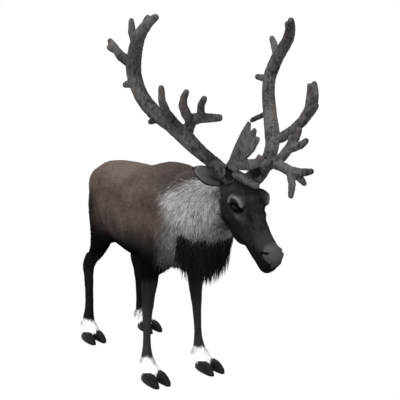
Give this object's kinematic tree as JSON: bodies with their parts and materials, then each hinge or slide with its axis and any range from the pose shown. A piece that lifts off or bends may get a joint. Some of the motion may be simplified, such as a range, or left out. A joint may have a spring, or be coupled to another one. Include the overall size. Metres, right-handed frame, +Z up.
{
  "type": "reindeer",
  "caption": "Life-size reindeer bull with full branching antlers, pale neck ruff, black throat beard and cloven hooves, standing square as a still museum-like model.",
  "frame": {"origin": "on the ground, under the middle of the animal's bounding box", "axes": "+X forward towards the head, +Y the animal's left, +Z up, metres"},
  "size_m": [1.8963, 0.9141, 1.849],
  "materials": {
    "coat": "grey-brown hair",
    "ruff": "pale grey long hair with a black beard",
    "dark_hair": "short dark hair",
    "shank_hair": "short brown-black hair, white over the hooves",
    "antler": "dark grey-brown antler bone, matte",
    "hoof": "black horn, slightly glossy",
    "eye": "dark, wet"
  },
  "bodies": {
    "root": {"ear_r": "dark_hair", "eye_r": "eye", "fore_leg_r": "coat", "hind_leg_r": "coat", "fore_shank_r": "shank_hair", "hind_shank_r": "shank_hair", "fore_hoof_r": "hoof", "hind_hoof_r": "hoof", "antler_r_beam_low": "antler", "antler_r_brow": "antler", "antler_r_bez": "antler", "antler_r_beam_high": "antler", "ear_l": "dark_hair", "eye_l": "eye", "fore_leg_l": "coat", "hind_leg_l": "coat", "fore_shank_l": "shank_hair", "hind_shank_l": "shank_hair", "fore_hoof_l": "hoof", "hind_hoof_l": "hoof", "antler_l_beam_low": "antler", "antler_l_brow": "antler", "antler_l_bez": "antler", "antler_l_beam_high": "antler", "body": "coat", "neck": "ruff", "head": "dark_hair", "tail": "coat"}
  },
  "joints": []
}
